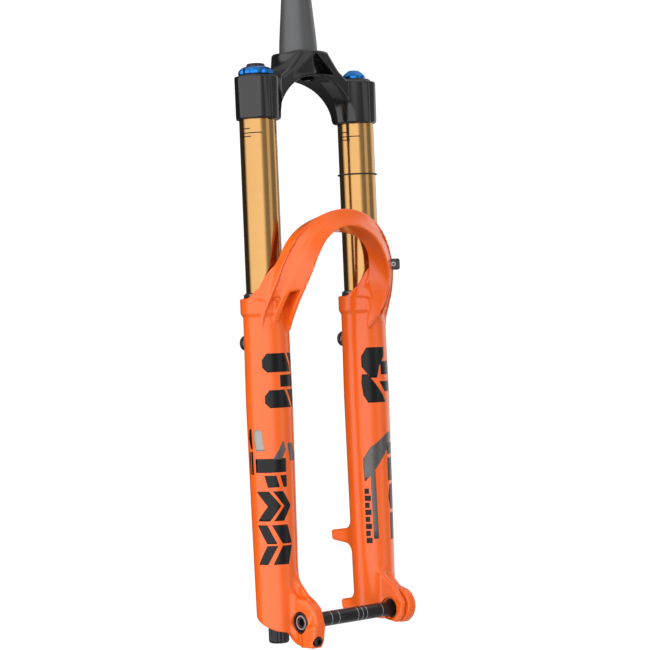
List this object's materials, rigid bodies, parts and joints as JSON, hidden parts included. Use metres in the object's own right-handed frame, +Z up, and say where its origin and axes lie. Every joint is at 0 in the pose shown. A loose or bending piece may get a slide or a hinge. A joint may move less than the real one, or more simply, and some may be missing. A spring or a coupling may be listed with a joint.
{
  "type": "bicycle suspension fork",
  "caption": "Telescopic single-crown bicycle suspension fork with sliding lower legs, front arch, through axle and disc brake posts.",
  "frame": {"origin": "on the steering axis at the crown race seat, the shoulder that the lower headset race rests on", "axes": "+Z up the steering axis, -Y forwards in the direction of travel, +X to the rider's left, where the disc brake goes"},
  "size_m": [0.1846, 0.1117, 0.809],
  "materials": {
    "orange_casting": "gloss orange lacquer over a cast magnesium body",
    "black_forging": "polished gloss black over a forged aluminium crown",
    "grey_steerer": "dark grey hard anodised, satin",
    "gold_anodised": "gold low-friction anodised coating, mirror smooth",
    "blue_anodised": "bright blue anodised",
    "black_anodised": "black anodised, satin",
    "bare_aluminium": "machined",
    "bright_steel": "polished steel",
    "brass_valve": "machined brass",
    "bushing_bronze": "bronze backed low-friction lining",
    "seal_rubber": "matt nitrile rubber",
    "oil_foam": "oil soaked open-cell foam",
    "black_polymer": "moulded black nylon",
    "orange_polymer": "moulded orange plastic"
  },
  "bodies": {
    "crown_unit": {"steerer_tube": "grey_steerer", "crown": "black_forging", "stanchion_right": "gold_anodised", "stanchion_left": "gold_anodised", "damper_cartridge_tube": "bare_aluminium", "damper_top_cap": "black_anodised", "base_valve": "brass_valve", "damper_seal_head": "black_anodised", "air_top_cap": "black_anodised", "air_valve": "brass_valve", "air_seal_head": "bare_aluminium", "volume_spacer_1": "orange_polymer", "volume_spacer_2": "orange_polymer"},
    "compression_dial": {"compression_dial": "blue_anodised"},
    "compression_knob": {"compression_knob": "black_anodised"},
    "floating_piston": {"floating_piston": "black_anodised"},
    "air_valve_cap": {"air_valve_cap": "blue_anodised"},
    "travel_ring": {"travel_ring": "seal_rubber"},
    "lowers": {"lowers": "orange_casting", "wiper_seal_right": "seal_rubber", "wiper_seal_left": "seal_rubber", "foam_ring_right": "oil_foam", "foam_ring_left": "oil_foam", "bushing_upper_right": "bushing_bronze", "bushing_upper_left": "bushing_bronze", "bushing_lower_right": "bushing_bronze", "bushing_lower_left": "bushing_bronze", "hose_guide": "black_polymer", "hose_guide_screw": "bright_steel", "crush_washer_right": "bare_aluminium", "crush_washer_left": "bare_aluminium", "foot_nut_right": "black_anodised", "foot_nut_left": "black_anodised", "damper_shaft": "bright_steel", "damper_piston": "brass_valve", "air_shaft": "bright_steel", "air_piston": "black_anodised", "top_out_bumper": "seal_rubber", "bottom_out_bumper": "seal_rubber", "axle_sleeve": "black_anodised", "axle_nut": "black_anodised"},
    "axle": {"axle": "black_anodised"},
    "pinch_bolt": {"pinch_bolt": "bright_steel"},
    "bleed_button_right": {"bleed_button_right": "black_anodised"},
    "bleed_button_left": {"bleed_button_left": "black_anodised"},
    "rebound_cover": {"rebound_cover": "black_polymer"},
    "rebound_adjuster_outer": {"rebound_adjuster_outer": "blue_anodised"},
    "rebound_adjuster_inner": {"rebound_adjuster_inner": "bright_steel"}
  },
  "joints": [
    {"name": "travel", "type": "slide", "parent": "crown_unit", "child": "lowers", "axis": [0, 0, 1], "range_m": [0, 0.17], "stiffness_N_per_m": 8000},
    {"name": "compression_dial_turn", "type": "hinge", "parent": "crown_unit", "child": "compression_dial", "pos_m": [-0.067, -0.01, -0.025], "axis": [0, 0, 1], "range_deg": [-90, 90]},
    {"name": "compression_knob_turn", "type": "hinge", "parent": "crown_unit", "child": "compression_knob", "pos_m": [-0.067, -0.01, -0.018], "axis": [0, 0, 1], "range_deg": [-160, 160]},
    {"name": "floating_piston_slide", "type": "slide", "parent": "crown_unit", "child": "floating_piston", "axis": [0, 0, 1], "range_m": [0, 0.021]},
    {"name": "air_valve_cap_lift", "type": "slide", "parent": "crown_unit", "child": "air_valve_cap", "axis": [0, 0, 1], "range_m": [0, 0.025]},
    {"name": "travel_ring_slide", "type": "slide", "parent": "crown_unit", "child": "travel_ring", "axis": [0, 0, 1], "range_m": [0, 0.0515]},
    {"name": "axle_draw", "type": "slide", "parent": "lowers", "child": "axle", "axis": [-1, 0, 0], "range_m": [0, 0.14]},
    {"name": "pinch_bolt_turn", "type": "hinge", "parent": "lowers", "child": "pinch_bolt", "pos_m": [-0.0635, -0.055, -0.6015], "axis": [0, -1, 0], "range_deg": [0, 360]},
    {"name": "bleed_press_right", "type": "slide", "parent": "lowers", "child": "bleed_button_right", "axis": [0, -1, 0], "range_m": [0, 0.0018], "stiffness_N_per_m": 900, "springref_m": -0.001},
    {"name": "bleed_press_left", "type": "slide", "parent": "lowers", "child": "bleed_button_left", "axis": [0, -1, 0], "range_m": [0, 0.0018], "stiffness_N_per_m": 900, "springref_m": -0.001},
    {"name": "rebound_cover_pull", "type": "slide", "parent": "lowers", "child": "rebound_cover", "axis": [0, 0, -1], "range_m": [0, 0.03]},
    {"name": "rebound_outer_turn", "type": "hinge", "parent": "lowers", "child": "rebound_adjuster_outer", "pos_m": [-0.067, -0.01, -0.59], "axis": [0, 0, 1], "range_deg": [-90, 90]},
    {"name": "rebound_inner_turn", "type": "hinge", "parent": "lowers", "child": "rebound_adjuster_inner", "pos_m": [-0.067, -0.01, -0.595], "axis": [0, 0, 1], "range_deg": [-160, 160]}
  ],
  "couplings": [
    {"joint": "floating_piston_slide", "follows": "travel", "ratio": 0.121},
    {"joint": "travel_ring_slide", "follows": "travel", "ratio": 0.3}
  ]
}
